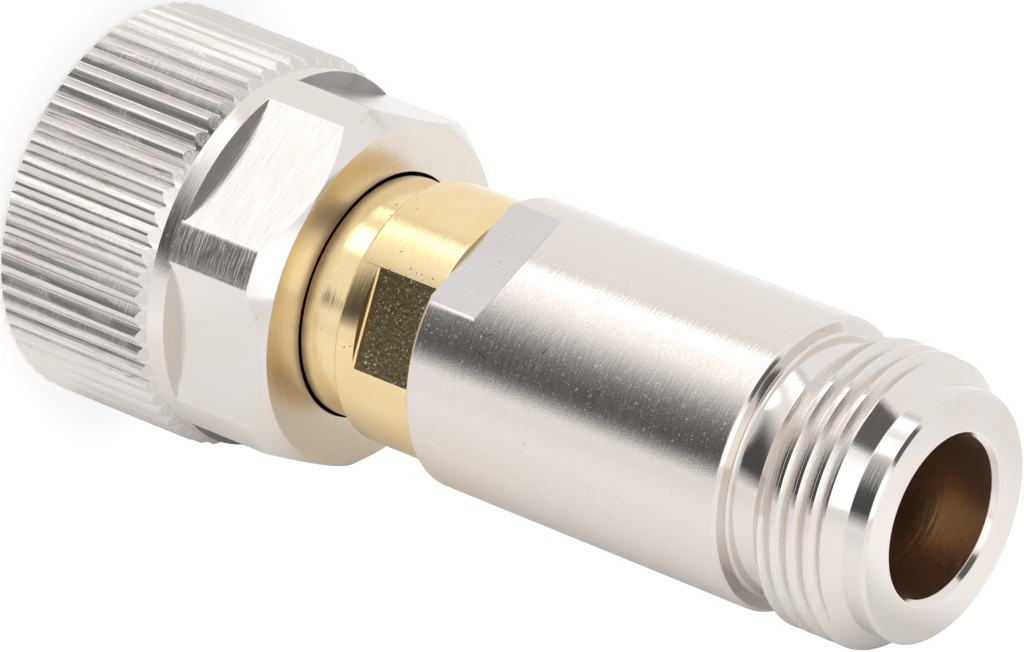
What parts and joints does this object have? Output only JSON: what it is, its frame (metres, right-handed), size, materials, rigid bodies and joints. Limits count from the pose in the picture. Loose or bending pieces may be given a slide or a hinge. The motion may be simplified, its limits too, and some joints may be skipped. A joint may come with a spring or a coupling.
{
  "type": "coaxial adapter",
  "caption": "Coaxial adapter: a plug with a free-turning knurled coupling nut at one end, a threaded socket with a long barrel at the other, and a gold body between them.",
  "frame": {"origin": "on the axis, in the plane of the coupling nut's front rim, on which the adapter stands", "axes": "+Z along the axis towards the socket's nose; the barrel's two wrench flats face -Y and +Y"},
  "size_m": [0.0216, 0.0216, 0.0542],
  "materials": {
    "nickel_plate": "satin",
    "gold_plate": "polished",
    "contact_gold": "polished",
    "spring_bronze": "satin",
    "insulator": "satin",
    "gasket_rubber": "matte"
  },
  "bodies": {
    "adapter": {"plug_body": "gold_plate", "retaining_ring": "spring_bronze", "sealing_gasket": "gasket_rubber", "outer_contact": "contact_gold", "plug_bead": "insulator", "pin_contact": "contact_gold", "centre_rod": "contact_gold", "socket_bead": "insulator", "socket_contact": "contact_gold", "socket_shell": "nickel_plate"},
    "nut": {"coupling_nut": "nickel_plate"}
  },
  "joints": [
    {"name": "nut_spin", "type": "hinge", "parent": "adapter", "child": "nut", "pos_m": [0, 0, 0.015], "axis": [0, 0, 1], "continuous": true}
  ]
}
